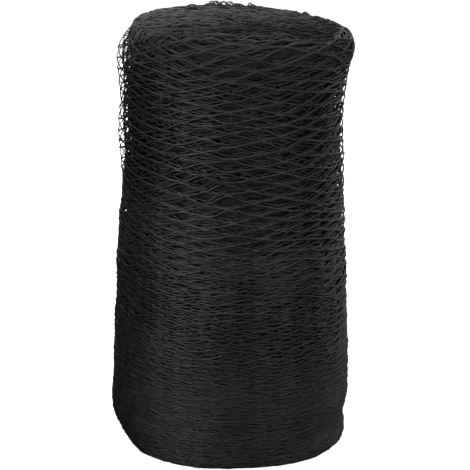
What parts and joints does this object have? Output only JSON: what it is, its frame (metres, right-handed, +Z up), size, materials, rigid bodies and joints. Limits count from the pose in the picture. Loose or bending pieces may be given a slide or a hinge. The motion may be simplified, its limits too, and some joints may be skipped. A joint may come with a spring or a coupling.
{
  "type": "pond netting roll",
  "caption": "Upright roll of black diamond-mesh pond netting, wound on itself without a core, its last turn slack and standing off as an open mesh.",
  "frame": {"origin": "middle of the flat foot that the roll stands on", "axes": "+Z up along the roll, +X to the right of the picture, -Y towards its camera"},
  "size_m": [0.2384, 0.2355, 0.4149],
  "materials": {
    "net_wound": "satin black polyethylene strands, tightly wound",
    "net_loose": "satin black polyethylene strands, open mesh"
  },
  "bodies": {
    "root": {"wound_roll": "net_wound", "loose_turn": "net_loose"}
  },
  "joints": []
}
